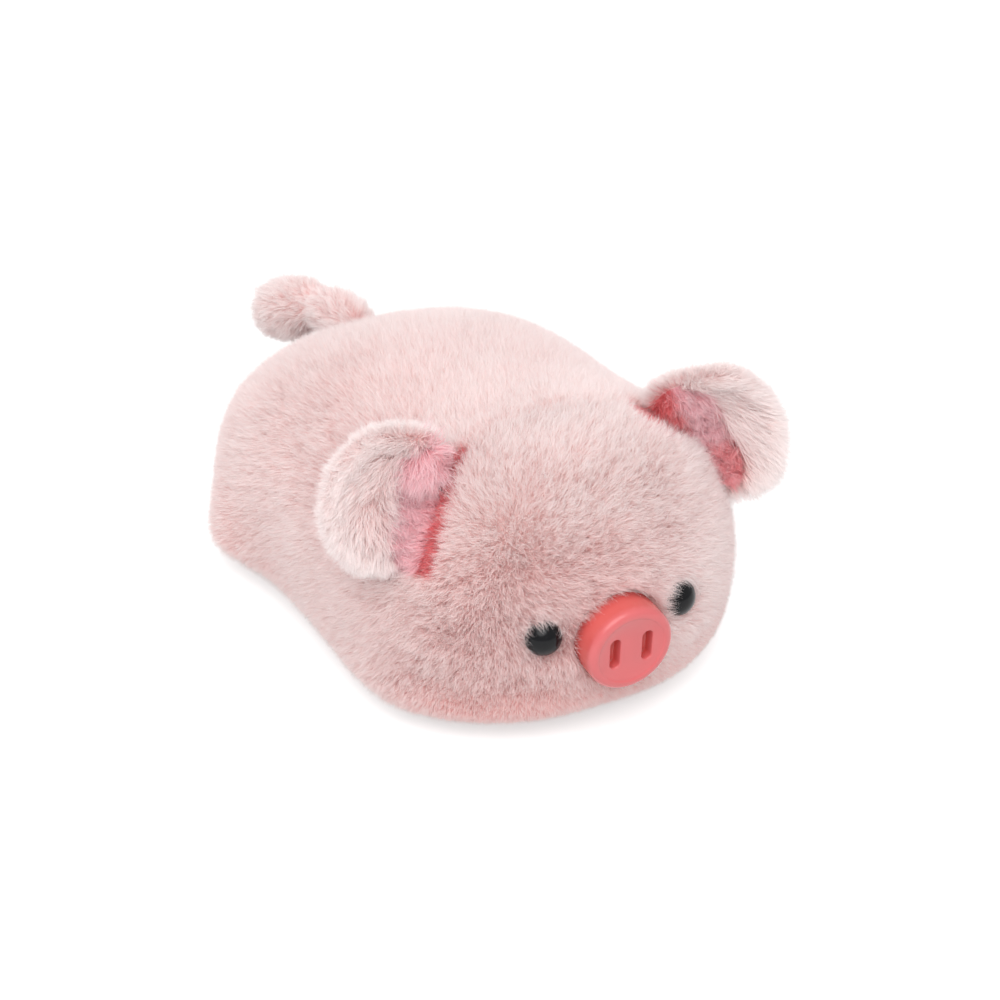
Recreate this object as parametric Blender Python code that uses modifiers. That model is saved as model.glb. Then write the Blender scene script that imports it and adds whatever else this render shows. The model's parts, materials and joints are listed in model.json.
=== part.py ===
# Plush pig lying on its belly: sewn pile-fabric panels round a loose fibre filling,
# two cupped ears, a stuffed tail, and a hard snout and bead eyes held by lock washers.
# Metres, +Z up. The pig faces -Y and stands on z = 0, with its own left side at +X.

import math

import bmesh
import bpy
import numpy as np
from mathutils import Matrix, Vector

# Body and head, one bag of fabric. Stations run from the rear end to the face.
MID_Y = -0.034  # where the rear half and the front half of the bag meet
REAR_REACH = 0.132
FRONT_REACH = 0.083
HALF_WIDTHS = (0.067, 0.073, 0.067, 0.069, 0.054)
TOP_HEIGHTS = (0.066, 0.082, 0.090, 0.102, 0.112)
WIDEST_HEIGHTS = (0.022, 0.0225, 0.025)
SIDE_BLUNTNESS = 2.7  # 2 is an ellipse, more is blunter
TOP_BLUNTNESS = 2.65
BELLY_BLUNTNESS = 3.5
UPPER_SQUARENESS = 2.4
LOWER_SQUARENESS = 3.6
BELLY_SAG = 0.0005  # depth that the resting flat takes off the belly
HAUNCH_SWELL = 0.0095
HAUNCH_PLACE = (0.032, 0.010)  # y and z of the fullest point
HAUNCH_SIZE = (0.020, 0.022)

# Fabric, seams and gaps
SKIN = 0.004  # backing with its pile laid down
GAP = 0.0003
ROOT_GAP = 0.0008  # between the body and what is sewn on to it
BELLY_SEAM_HEIGHT = 0.011
NECK_SEAM_TOP = (-0.067, 0.094)  # y and z where the seam crosses the top of the head
NECK_SEAM_LEAN = 0.30  # how far the seam moves back for each metre up
BROW_HALF_WIDTH_BACK = 0.031
BROW_HALF_WIDTH_FRONT = 0.0165
BROW_TAPER_LENGTH = 0.030
BROW_EDGE_STEPS = 6
FACE_OFFSET = 0.0018  # the face was sewn this far to the left of the middle

# Mesh fineness
SKIN_ROUND_STEPS = 32
SKIN_LENGTH_STEPS = 28
FILL_ROUND_STEPS = 20
FILL_LENGTH_STEPS = 16
TURN_STEPS = 24
SMALL_TURN_STEPS = 16

# Ears. Each leaf is drawn in its own plane, along and out from a point in the head.
EAR_POINT = Vector((0.0429, -0.0705, 0.0774))
EAR_HEADING = Vector((0.353, -0.133, -0.926))
EAR_TURNS = {"left": math.radians(28.7), "right": math.radians(6.7)}  # forward, as they lie
EAR_LEANS = {"left": 0.14, "right": 0.02}  # how far the tip drops for each metre out
EAR_HALF_LENGTH = 0.0235
EAR_CENTRE_OUT = 0.0144
EAR_HALF_REACH = 0.0194
EAR_SQUARENESS = 2.5
EAR_CUP = 0.0105  # how far its ends stand forward of its middle
EAR_THICKNESS = 0.0080
EAR_SEAM_THICKNESS = 0.0028
EAR_TAPER = (0.0040, 0.0160)  # out from the point, where it starts and stops
EAR_SEAM_OUT = 0.0035  # where the seam crosses the middle of the leaf
EAR_SEAM_SLOPE = math.radians(22.5)  # of the seam to the leaf's own length
LINING_HALF_LENGTH = 0.0190
LINING_CENTRE_OUT = 0.0110
LINING_HALF_REACH = 0.0105
LINING_THICKNESS = 0.0022
EAR_FLOP = (math.radians(-25.0), math.radians(35.0))  # back and forward of its rest
EAR_FLOP_STEPS = 5

# Tail: its middle line, then its radius from root to tip
TAIL_LINE = (
    Vector((0.000, 0.0650, 0.0470)),
    Vector((-0.0010, 0.0830, 0.0640)),
    Vector((-0.0080, 0.0990, 0.0640)),
    Vector((-0.0160, 0.1215, 0.0440)),
)
TAIL_RADII = (0.0078, 0.0092, 0.0084, 0.0110, 0.0132)
TAIL_BLUNTNESS = 2.8
TAIL_SKIN = 0.0035
TAIL_ROOT = Vector((-0.0010, 0.0784, 0.0563))

# Snout: a moulded disc with a grooved stem
SNOUT_CENTRE = Vector((0.0016, -0.1240, 0.0382))  # middle of its front face
SNOUT_DIP = math.radians(3.0)
SNOUT_RADIUS = 0.0146
SNOUT_DEPTH = 0.0110
SNOUT_EDGE_ROUND = 0.0022
SNOUT_FACE_RIM = 0.0012
NOSTRIL_SPACING = 0.0112
NOSTRIL_WIDTH = 0.0034
NOSTRIL_HEIGHT = 0.0106
NOSTRIL_DEPTH = 0.0040
SNOUT_STEM_RADIUS = 0.0035
SNOUT_STEM_LENGTH = 0.0130
SNOUT_WASHER_RADIUS = 0.0095

# Eyes: a bead with a grooved stem
EYE_PLACES = {  # on the outside of the fabric; the face was sewn a little to the left
    "left": (Vector((0.0266, -0.1126, 0.0427)), Vector((0.350, -0.930, 0.085))),
    "right": (Vector((-0.0232, -0.1135, 0.0432)), Vector((-0.290, -0.950, 0.090))),
}
EYE_RADIUS = 0.0058
EYE_HEIGHT = 0.0054
EYE_SEAT_DEPTH = 0.0028
EYE_STEM_RADIUS = 0.0016
EYE_STEM_LENGTH = 0.0090
EYE_WASHER_RADIUS = 0.0062
STEM_GROOVE = 0.0003
WASHER_THICKNESS = 0.0016
WASHER_CLEARANCE = 0.00015


def clear_scene():
    for item in list(bpy.data.objects):
        bpy.data.objects.remove(item, do_unlink=True)


def new_collection(name):
    collection = bpy.data.collections.new(name)
    bpy.context.scene.collection.children.link(collection)
    return collection


def new_material(name, colour, roughness, metallic=0.0):
    material = bpy.data.materials.new(name)
    material.use_nodes = True
    shader = material.node_tree.nodes["Principled BSDF"]
    shader.inputs["Base Color"].default_value = (*colour, 1.0)
    shader.inputs["Roughness"].default_value = roughness
    shader.inputs["Metallic"].default_value = metallic
    material.diffuse_color = (*colour, 1.0)
    return material


def add_object(name, bm, collection, material=None):
    # Cutters stay flat, so that the seams they cut are crisp
    mesh = bpy.data.meshes.new(name)
    bm.to_mesh(mesh)
    bm.free()
    if material:
        mesh.shade_smooth()
    item = bpy.data.objects.new(name, mesh)
    collection.objects.link(item)
    if material:
        mesh.materials.append(material)
    return item


def hide_cutter(item):
    item.hide_render = True
    item.display_type = "WIRE"
    return item


def boolean(item, cutter, operation="DIFFERENCE"):
    modifier = item.modifiers.new(cutter.name, "BOOLEAN")
    modifier.operation = operation
    modifier.solver = "EXACT"
    modifier.object = cutter


def tidy_shading(item):
    # Keeps cut faces flat beside rounded ones
    item.modifiers.new("shading", "WEIGHTED_NORMAL").weight = 100


def swell(bm, distance):
    # Moves a closed mesh's surface out along its own normals
    bm.normal_update()
    moves = [vert.normal * distance for vert in bm.verts]
    for vert, move in zip(bm.verts, moves):
        vert.co += move


def signed_power(value, power):
    return math.copysign(abs(value) ** power, value)


def blunt(station, bluntness):
    return max(0.0, 1.0 - abs(station) ** bluntness) ** (1.0 / bluntness)


def through(values):
    # The smooth curve through values at even stations from -1 to 1
    stations = np.linspace(-1.0, 1.0, len(values))
    return np.polynomial.Polynomial.fit(stations, values, len(values) - 1)


width_at = through(HALF_WIDTHS)
top_at = through(TOP_HEIGHTS)
widest_at = through(WIDEST_HEIGHTS)
tail_radius_at = through(TAIL_RADII)


def body_point(unit):
    # Takes a point of the unit sphere, whose z runs from the rear (-1) to the face (1)
    station = unit.z
    angle = math.atan2(unit.y, unit.x)
    across, rise = math.cos(angle), math.sin(angle)
    level = widest_at(station)
    if rise > 0.0:
        squareness = UPPER_SQUARENESS
        reach = (top_at(station) - level) * blunt(station, TOP_BLUNTNESS)
    else:
        squareness = LOWER_SQUARENESS
        reach = (level + BELLY_SAG) * blunt(station, BELLY_BLUNTNESS)
    half_width = width_at(station) * blunt(station, SIDE_BLUNTNESS)
    x = half_width * signed_power(across, 2.0 / squareness)
    y = MID_Y - station * (REAR_REACH if station < 0.0 else FRONT_REACH)
    z = level + reach * signed_power(rise, 2.0 / squareness)
    along = (y - HAUNCH_PLACE[0]) / HAUNCH_SIZE[0]
    up = (z - HAUNCH_PLACE[1]) / HAUNCH_SIZE[1]
    haunch = HAUNCH_SWELL * math.exp(-along * along - up * up)
    x += haunch * signed_power(across, 0.5)
    return Vector((x, y, z))


def body_form(name, grow, round_steps, length_steps, collection, material=None):
    bm = bmesh.new()
    bmesh.ops.create_uvsphere(bm, u_segments=round_steps, v_segments=length_steps, radius=1.0)
    for vert in bm.verts:
        vert.co = body_point(vert.co)
    if grow:
        swell(bm, grow)
    bmesh.ops.triangulate(bm, faces=bm.faces, quad_method="FIXED")
    return add_object(name, bm, collection, material)


def block(name, outline, low, high, lean, cutters):
    # An upright prism on a plan, whose top is shifted back by its lean
    bm = bmesh.new()
    base_y = NECK_SEAM_TOP[0] - lean * NECK_SEAM_TOP[1]
    rings = []
    for level in (low, high):
        ring = [bm.verts.new((x, base_y + y + lean * level, level)) for x, y in outline]
        rings.append(ring)
    bm.faces.new(rings[0][::-1])
    bm.faces.new(rings[1])
    for i in range(len(outline)):
        j = (i + 1) % len(outline)
        bm.faces.new((rings[0][i], rings[0][j], rings[1][j], rings[1][i]))
    bmesh.ops.recalc_face_normals(bm, faces=bm.faces)
    return hide_cutter(add_object(name, bm, cutters))


def brow_edge(side):
    # Plan of the seam beside the brow, from the neck seam (y = 0) down to the face
    points = []
    for i in range(BROW_EDGE_STEPS + 1):
        share = i / BROW_EDGE_STEPS
        ease = share * share * (3.0 - 2.0 * share)
        width = BROW_HALF_WIDTH_BACK + (BROW_HALF_WIDTH_FRONT - BROW_HALF_WIDTH_BACK) * ease
        points.append((side * width + FACE_OFFSET * ease, -BROW_TAPER_LENGTH * share))
    points.append((points[-1][0], -0.12))
    return points


def shifted(points, x, y):
    return [(point[0] + x, point[1] + y) for point in points]


def panel_blocks(cutters):
    # One block for each fabric panel, a gap apart. In plan y = 0 is the neck seam.
    far = 0.30
    half = GAP / 2.0
    low = BELLY_SEAM_HEIGHT + half
    high = 0.15
    left_edge, right_edge = brow_edge(1), brow_edge(-1)
    plans = {
        "body_panel_left": ((half, half), (far, half), (far, far), (half, far)),
        "body_panel_right": ((-far, half), (-half, half), (-half, far), (-far, far)),
        "brow_panel": shifted(left_edge, -half, -half) + shifted(right_edge, half, -half)[::-1],
        "cheek_panel_left": shifted(left_edge, half, -half) + [(far, -0.12), (far, -half)],
        "cheek_panel_right": shifted(right_edge, -half, -half) + [(-far, -0.12), (-far, -half)],
    }
    blocks = {}
    for panel, plan in plans.items():
        blocks[panel] = block(panel + "_block", plan, low, high, NECK_SEAM_LEAN, cutters)
    whole = ((-far, -far), (far, -far), (far, far), (-far, far))
    top = BELLY_SEAM_HEIGHT - half
    blocks["belly_panel"] = block("belly_panel_block", whole, 0.0, top, 0.0, cutters)
    return blocks


def turned(name, profile, steps, collection, material=None):
    # Turns a profile of (radius, height) about Z. It runs from the top down the outer
    # side, either from axis to axis or, as a ring's section, back to its first point.
    bm = bmesh.new()
    points = [bm.verts.new((radius, 0.0, height)) for radius, height in profile]
    for start, stop in zip(points, points[1:]):
        bm.edges.new((start, stop))
    if profile[0][0] > 0.0:
        bm.edges.new((points[-1], points[0]))
    item = add_object(name, bm, collection, material)
    screw = item.modifiers.new("turn", "SCREW")
    screw.axis = "Z"
    screw.angle = math.tau
    screw.steps = steps
    screw.render_steps = steps
    screw.use_merge_vertices = True
    screw.merge_threshold = 0.00001
    screw.use_smooth_shade = True
    return item


def arc(centre, radius, start, stop, steps):
    # Points of a quarter-like arc in the (radius, height) plane, angles in degrees
    points = []
    for i in range(steps + 1):
        angle = math.radians(start + (stop - start) * i / steps)
        points.append((centre[0] + radius * math.cos(angle), centre[1] + radius * math.sin(angle)))
    return points


def stem_profile(radius, top, length, grooves=2):
    # The grooved stem below a disc or bead, from its top down to its point
    points = [(radius, top)]
    pitch = length / (grooves + 2)
    for i in range(grooves):
        level = top - pitch * (i + 2)
        points += [
            (radius, level + 0.3 * pitch),
            (radius - STEM_GROOVE, level + 0.1 * pitch),
            (radius - STEM_GROOVE, level - 0.1 * pitch),
            (radius, level - 0.3 * pitch),
        ]
    points += [(radius, top - length + 0.4 * radius), (0.5 * radius, top - length)]
    points.append((0.0, top - length))
    return points


def aim(item, place, facing):
    # Puts an object's origin at place, with its own Z along facing and its Y upwards
    z = facing.normalized()
    x = Vector((0.0, 0.0, 1.0)).cross(z).normalized()
    y = z.cross(x)
    turn = Matrix((x, y, z)).transposed()
    item.matrix_world = Matrix.Translation(place) @ turn.to_4x4()


def socket(name, head, stem, ring_radius, ring_top, steps, cutters):
    # The hollow for a bead or disc, its stem and its washer, a gap wider all round.
    # head and stem are each a radius and the depth that it reaches.
    head_radius, head_depth = head[0] + GAP, -head[1] - GAP
    stem_radius, stem_depth = stem[0] + GAP, -stem[1] - GAP
    ring_low = ring_top - WASHER_THICKNESS - GAP
    profile = (
        (0.0, 0.020),
        (head_radius, 0.020),
        (head_radius, head_depth),
        (stem_radius, head_depth),
        (stem_radius, ring_top + GAP),
        (ring_radius + GAP, ring_top + GAP),
        (ring_radius + GAP, ring_low),
        (stem_radius, ring_low),
        (stem_radius, stem_depth),
        (0.0, stem_depth),
    )
    return hide_cutter(turned(name, profile, steps, cutters))


def washer(name, bore, radius, parts, material):
    # A push-on ring, dished underneath
    profile = (
        (bore, 0.0),
        (radius - 0.0006, 0.0),
        (radius, -0.0005),
        (radius, -WASHER_THICKNESS),
        (0.5 * (bore + radius), -WASHER_THICKNESS + 0.0003),
        (bore, -WASHER_THICKNESS),
    )
    return turned(name, profile, SMALL_TURN_STEPS, parts, material)


def make_snout(parts, cutters, plastic, washer_plastic):
    # Heights are measured from the front face, which looks along the object's own Z
    rim = SNOUT_EDGE_ROUND
    profile = [(0.0, -0.0004), (SNOUT_RADIUS - rim - SNOUT_FACE_RIM, -0.0004)]
    profile.append((SNOUT_RADIUS - rim - 0.5 * SNOUT_FACE_RIM, 0.0))
    profile += arc((SNOUT_RADIUS - rim, -rim), rim, 90.0, 0.0, 5)
    profile.append((SNOUT_RADIUS, -SNOUT_DEPTH + 0.0008))
    profile.append((SNOUT_RADIUS - 0.0008, -SNOUT_DEPTH))
    profile += stem_profile(SNOUT_STEM_RADIUS, -SNOUT_DEPTH, SNOUT_STEM_LENGTH)
    snout = turned("snout", profile, TURN_STEPS, parts, plastic)
    facing = Vector((0.0, -math.cos(SNOUT_DIP), -math.sin(SNOUT_DIP)))
    aim(snout, SNOUT_CENTRE, facing)
    for side, label in ((1, "left"), (-1, "right")):
        bm = bmesh.new()
        bmesh.ops.create_cone(
            bm,
            cap_ends=True,
            segments=16,
            radius1=0.5 * NOSTRIL_WIDTH,
            radius2=0.5 * NOSTRIL_WIDTH,
            depth=2.0 * NOSTRIL_DEPTH,
        )
        stretch = 0.5 * (NOSTRIL_HEIGHT - NOSTRIL_WIDTH)
        for vert in bm.verts:
            vert.co.x += side * 0.5 * NOSTRIL_SPACING
            vert.co.y += math.copysign(stretch, vert.co.y)
        slot = hide_cutter(add_object("nostril_cutter_" + label, bm, cutters))
        slot.matrix_world = snout.matrix_world
        boolean(snout, slot)
    tidy_shading(snout)
    washer_top = -SNOUT_DEPTH - SKIN + 0.0010
    head = (SNOUT_RADIUS, SNOUT_DEPTH)
    stem = (SNOUT_STEM_RADIUS, SNOUT_DEPTH + SNOUT_STEM_LENGTH)
    ring = SNOUT_WASHER_RADIUS
    hollow = socket("snout_socket", head, stem, ring, washer_top, TURN_STEPS, cutters)
    hollow.matrix_world = snout.matrix_world
    bore = SNOUT_STEM_RADIUS + WASHER_CLEARANCE
    ring = washer("snout_washer", bore, SNOUT_WASHER_RADIUS, parts, washer_plastic)
    aim(ring, SNOUT_CENTRE + facing * washer_top, facing)
    return hollow


def make_eye(label, parts, cutters, bead_plastic, washer_plastic):
    # Heights are measured from the outside of the fabric
    seat = -EYE_SEAT_DEPTH
    crown = EYE_HEIGHT - EYE_SEAT_DEPTH
    profile = []
    steps = 5
    for i in range(steps + 1):
        angle = math.radians(90.0 * (1.0 - i / steps))
        level = seat + 0.0006 + (crown - seat - 0.0006) * math.sin(angle)
        profile.append((EYE_RADIUS * math.cos(angle) if i else 0.0, level))
    profile.append((EYE_RADIUS - 0.0005, seat))
    profile += stem_profile(EYE_STEM_RADIUS, seat, EYE_STEM_LENGTH)
    eye = turned("eye_" + label, profile, SMALL_TURN_STEPS, parts, bead_plastic)
    place, facing = EYE_PLACES[label]
    facing = facing.normalized()
    aim(eye, place, facing)
    washer_top = -SKIN - 0.0004
    head = (EYE_RADIUS, EYE_SEAT_DEPTH)
    stem = (EYE_STEM_RADIUS, EYE_SEAT_DEPTH + EYE_STEM_LENGTH)
    name = "eye_socket_" + label
    ring = EYE_WASHER_RADIUS
    hollow = socket(name, head, stem, ring, washer_top, SMALL_TURN_STEPS, cutters)
    hollow.matrix_world = eye.matrix_world
    bore = EYE_STEM_RADIUS + WASHER_CLEARANCE
    ring = washer("eye_washer_" + label, bore, EYE_WASHER_RADIUS, parts, washer_plastic)
    aim(ring, place + facing * washer_top, facing)
    return hollow


def ear_thickness(out):
    start, stop = EAR_TAPER
    share = min(1.0, max(0.0, (out - start) / (stop - start)))
    ease = share * share * (3.0 - 2.0 * share)
    return EAR_SEAM_THICKNESS + (EAR_THICKNESS - EAR_SEAM_THICKNESS) * ease


def ear_leaf(label, half_length, centre_out, half_reach, lift, front, back, steps):
    # A flattened sphere, cupped forward. Local X is along the seam, mirrored on the right,
    # Y is out from the head and Z is forward. Front and back are its thicknesses.
    side = 1.0 if label == "left" else -1.0
    lean = EAR_LEANS[label]
    cosine, sine = math.cos(EAR_SEAM_SLOPE), math.sin(EAR_SEAM_SLOPE)
    bm = bmesh.new()
    bmesh.ops.create_uvsphere(bm, u_segments=steps[0], v_segments=steps[1], radius=1.0)
    for vert in bm.verts:
        unit = vert.co
        ring = math.hypot(unit.x, unit.y)
        corner = abs(unit.x) ** EAR_SQUARENESS + abs(unit.y) ** EAR_SQUARENESS
        spread = ring / corner ** (1.0 / EAR_SQUARENESS) if ring > 1e-6 else 0.0
        along = half_length * unit.x * spread
        out = centre_out + half_reach * unit.y * spread
        height = EAR_CUP * (along / EAR_HALF_LENGTH) ** 2 + lift
        height += unit.z * (front if unit.z > 0.0 else back * ear_thickness(out))
        along += lean * max(0.0, out)
        out -= EAR_SEAM_OUT
        x = along * cosine + out * sine
        y = out * cosine - along * sine
        vert.co = Vector((side * x, y, height))
    if side < 0.0:
        bmesh.ops.reverse_faces(bm, faces=bm.faces)
    return bm


def ear_hinge(label, parts):
    # An empty on the ear's seam, with its X along the seam
    side = 1.0 if label == "left" else -1.0
    point = EAR_POINT.copy()
    along = EAR_HEADING.normalized()
    sideways = (Vector((1.0, 0.0, 0.0)) - along * along.x).normalized()
    out = Matrix.Rotation(EAR_TURNS[label], 3, along) @ sideways
    forward = along.cross(out)
    place = point + out * EAR_SEAM_OUT
    heading = Matrix.Rotation(EAR_SEAM_SLOPE, 3, forward) @ along
    outward = forward.cross(heading)
    axes = [heading * side, outward, forward]
    for vector in [place] + axes:
        vector.x *= side
    hinge = bpy.data.objects.new("ear_hinge_" + label, None)
    hinge.empty_display_size = 0.01
    parts.objects.link(hinge)
    turn = Matrix(axes).transposed()
    hinge.matrix_world = Matrix.Translation(place) @ turn.to_4x4()
    return hinge


def flop_clearance(hinge, label, body, cutters):
    # The body as the ear meets it, at steps through the ear's flop
    forms = []
    for i in range(EAR_FLOP_STEPS + 1):
        angle = EAR_FLOP[0] + (EAR_FLOP[1] - EAR_FLOP[0]) * i / EAR_FLOP_STEPS
        form = bpy.data.objects.new("ear_clearance_{}_{}".format(label, i + 1), body.data)
        cutters.objects.link(form)
        back = Matrix.Rotation(-angle, 4, "X")
        form.matrix_world = hinge.matrix_world @ back @ hinge.matrix_world.inverted()
        forms.append(hide_cutter(form))
    return forms


def make_ear(label, parts, cutters, body, pile, lining_pile):
    hinge = ear_hinge(label, parts)
    clearance = flop_clearance(hinge, label, body, cutters)
    size = (EAR_HALF_LENGTH, EAR_CENTRE_OUT, EAR_HALF_REACH)
    leaf = ear_leaf(label, *size, 0.0, 0.0, 1.0, (22, 10))
    outer = add_object("ear_outer_" + label, leaf, parts, pile)
    size = (LINING_HALF_LENGTH, LINING_CENTRE_OUT, LINING_HALF_REACH)
    pad = ear_leaf(label, *size, GAP, LINING_THICKNESS, 0.0, (20, 6))
    lining = add_object("ear_lining_" + label, pad, parts, lining_pile)
    for item in (outer, lining):
        item.parent = hinge
        for form in clearance:
            boolean(item, form)


def tail_line(share):
    a, b, c, d = TAIL_LINE
    rest = 1.0 - share
    place = a * rest**3 + b * 3.0 * rest**2 * share + c * 3.0 * rest * share**2 + d * share**3
    heading = (b - a) * rest**2 + (c - b) * 2.0 * rest * share + (d - c) * share**2
    return place, heading.normalized()


def tail_form(name, grow, steps, collection, material=None):
    # A sphere drawn out along the tail's middle line
    bm = bmesh.new()
    bmesh.ops.create_uvsphere(bm, u_segments=steps[0], v_segments=steps[1], radius=1.0)
    for vert in bm.verts:
        station = vert.co.z
        place, heading = tail_line(0.5 * (1.0 + station))
        side = Vector((0.0, 0.0, 1.0)).cross(heading).normalized()
        top = heading.cross(side)
        angle = math.atan2(vert.co.y, vert.co.x)
        radius = tail_radius_at(station) * blunt(station, TAIL_BLUNTNESS)
        vert.co = place + (side * math.cos(angle) + top * math.sin(angle)) * radius
    if grow:
        swell(bm, grow)
    bmesh.ops.triangulate(bm, faces=bm.faces, quad_method="FIXED")
    return add_object(name, bm, collection, material)


def move_origin(item, place):
    item.data.transform(Matrix.Translation(-place))
    item.location = place


def make_tail(parts, cutters, root_cutter, pile, fibre):
    cover = tail_form("tail_cover", 0.0, (18, 15), parts, pile)
    hollow = hide_cutter(tail_form("tail_hollow", -TAIL_SKIN, (12, 12), cutters))
    filling = tail_form("tail_stuffing", -TAIL_SKIN - GAP, (12, 12), parts, fibre)
    boolean(cover, hollow)
    for item in (cover, filling):
        boolean(item, root_cutter)
        move_origin(item, TAIL_ROOT)


def make_panels(parts, cutters, sockets, pile):
    blocks = panel_blocks(cutters)
    hollow = hide_cutter(
        body_form("skin_hollow", -SKIN, FILL_ROUND_STEPS, FILL_LENGTH_STEPS, cutters)
    )
    for panel, cutter in blocks.items():
        item = body_form(panel, 0.0, SKIN_ROUND_STEPS, SKIN_LENGTH_STEPS, parts, pile)
        boolean(item, cutter, "INTERSECT")
        boolean(item, hollow)
        if panel in sockets:
            boolean(item, sockets[panel])


def make_stuffing(parts, cutters, sockets, fibre):
    # The filling of the bag, body and head, parted at the neck seam
    far = 0.30
    half = GAP / 2.0
    plans = {
        "body_stuffing": ((-far, half), (far, half), (far, far), (-far, far)),
        "head_stuffing": ((-far, -far), (far, -far), (far, -half), (-far, -half)),
    }
    for name, plan in plans.items():
        item = body_form(
            name, -SKIN - GAP, FILL_ROUND_STEPS, FILL_LENGTH_STEPS, parts, fibre
        )
        cutter = block(name + "_block", plan, -0.02, 0.15, NECK_SEAM_LEAN, cutters)
        boolean(item, cutter, "INTERSECT")
        if name == "head_stuffing":
            for hole in sockets.values():
                boolean(item, hole)


def main():
    clear_scene()
    parts = new_collection("plush_pig")
    cutters = new_collection("cutters")
    pile = new_material("pile_fabric", (0.90, 0.66, 0.64), 0.95)
    lining_pile = new_material("ear_lining_fabric", (0.84, 0.36, 0.40), 0.95)
    snout_plastic = new_material("snout_plastic", (0.75, 0.20, 0.20), 0.35)
    bead_plastic = new_material("bead_plastic", (0.01, 0.009, 0.012), 0.12)
    washer_plastic = new_material("washer_plastic", (0.85, 0.85, 0.82), 0.4)
    fibre = new_material("filling_fibre", (0.92, 0.92, 0.90), 0.95)

    snout_hollow = make_snout(parts, cutters, snout_plastic, washer_plastic)
    eye_hollow_left = make_eye("left", parts, cutters, bead_plastic, washer_plastic)
    eye_hollow_right = make_eye("right", parts, cutters, bead_plastic, washer_plastic)
    sockets = {
        "brow_panel": snout_hollow,
        "cheek_panel_left": eye_hollow_left,
        "cheek_panel_right": eye_hollow_right,
    }
    make_panels(parts, cutters, sockets, pile)
    make_stuffing(parts, cutters, sockets, fibre)

    root_cutter = hide_cutter(
        body_form("root_clearance", ROOT_GAP, SKIN_ROUND_STEPS, SKIN_LENGTH_STEPS, cutters)
    )
    for label in ("left", "right"):
        make_ear(label, parts, cutters, root_cutter, pile, lining_pile)
    make_tail(parts, cutters, root_cutter, pile, fibre)


main()
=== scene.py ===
# Plush pig lying on its belly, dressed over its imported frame. Metres, the pig faces -Y.

import json
import math

import bmesh
import bpy
import numpy as np
from mathutils import Matrix, Vector
from mathutils.bvhtree import BVHTree
from mathutils.kdtree import KDTree

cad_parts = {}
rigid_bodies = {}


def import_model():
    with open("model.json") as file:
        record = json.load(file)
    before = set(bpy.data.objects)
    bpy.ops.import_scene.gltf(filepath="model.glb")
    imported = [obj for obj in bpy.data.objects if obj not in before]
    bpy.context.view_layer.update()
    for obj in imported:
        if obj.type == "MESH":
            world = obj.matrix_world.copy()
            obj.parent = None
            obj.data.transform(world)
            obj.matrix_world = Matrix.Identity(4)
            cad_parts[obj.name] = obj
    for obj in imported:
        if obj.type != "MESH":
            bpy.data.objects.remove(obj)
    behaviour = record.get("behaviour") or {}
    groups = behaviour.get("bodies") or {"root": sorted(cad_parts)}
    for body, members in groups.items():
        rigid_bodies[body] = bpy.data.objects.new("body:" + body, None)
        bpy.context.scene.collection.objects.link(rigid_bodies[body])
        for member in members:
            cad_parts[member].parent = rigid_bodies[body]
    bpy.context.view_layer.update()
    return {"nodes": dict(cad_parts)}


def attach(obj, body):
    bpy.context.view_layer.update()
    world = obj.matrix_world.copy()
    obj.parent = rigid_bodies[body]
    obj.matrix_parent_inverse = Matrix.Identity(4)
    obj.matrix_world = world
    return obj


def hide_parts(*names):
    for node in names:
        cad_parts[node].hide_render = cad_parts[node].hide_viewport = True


print("frame: loading the packed model")
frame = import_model()
sides = ("left", "right")


def tint(red, green, blue):
    # A colour as an eye sees it, 0 to 255, turned to the numbers that a shader works in
    parts = []
    for part in (red, green, blue):
        share = part / 255.0
        parts.append(share / 12.92 if share <= 0.04045 else ((share + 0.055) / 1.055) ** 2.4)
    return (*parts, 1.0)


def unitRows(rows):
    return rows / np.maximum(np.linalg.norm(rows, axis=1), 1e-12)[:, None]


def easeShare(value, start, stop):
    share = np.clip((value - start) / (stop - start), 0.0, 1.0)
    return share * share * (3.0 - 2.0 * share)


def bell(distance, width):
    return np.exp(-((distance / width) ** 2))


def meshRows(mesh, name="co"):
    rows = np.zeros(len(mesh.vertices) * 3, np.float32)
    if name == "co":
        mesh.vertices.foreach_get("co", rows)
    else:
        mesh.vertex_normals.foreach_get("vector", rows)
    return rows.reshape(-1, 3).astype(float)


def kept(mask, *rows):
    return [row[mask] for row in rows]


def surfaceTree(mesh):
    places = [vert.co.copy() for vert in mesh.vertices]
    return BVHTree.FromPolygons(places, [tuple(face.vertices) for face in mesh.polygons])


def meshFrom(name, bm):
    mesh = bpy.data.meshes.new(name)
    bm.to_mesh(mesh)
    bm.free()
    return mesh


def inScene(name, data):
    thing = bpy.data.objects.new(name, data)
    bpy.context.scene.collection.objects.link(thing)
    return thing


def pieceFrom(mesh, material, body, slot, *nodes):
    mesh.shade_smooth()
    mesh.materials.append(material)
    piece = inScene(mesh.name, mesh)
    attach(piece, body)
    if nodes:
        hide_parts(*nodes)
    return piece


class Wire:
    # A node's output that can be used in plain arithmetic
    def __init__(self, socket):
        self.socket = socket

    def join(self, operation, other):
        node = self.socket.id_data.nodes.new("ShaderNodeMath")
        node.operation = operation
        for slot, value in zip(node.inputs, (self, other)):
            plug(slot, value)
        return Wire(node.outputs[0])

    def __add__(self, other):
        return self.join("ADD", other)

    def __mul__(self, other):
        return self.join("MULTIPLY", other)

    __radd__, __rmul__ = __add__, __mul__


def plug(slot, value):
    if isinstance(value, Wire):
        slot.id_data.links.new(value.socket, slot)
    else:
        slot.default_value = value


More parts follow.
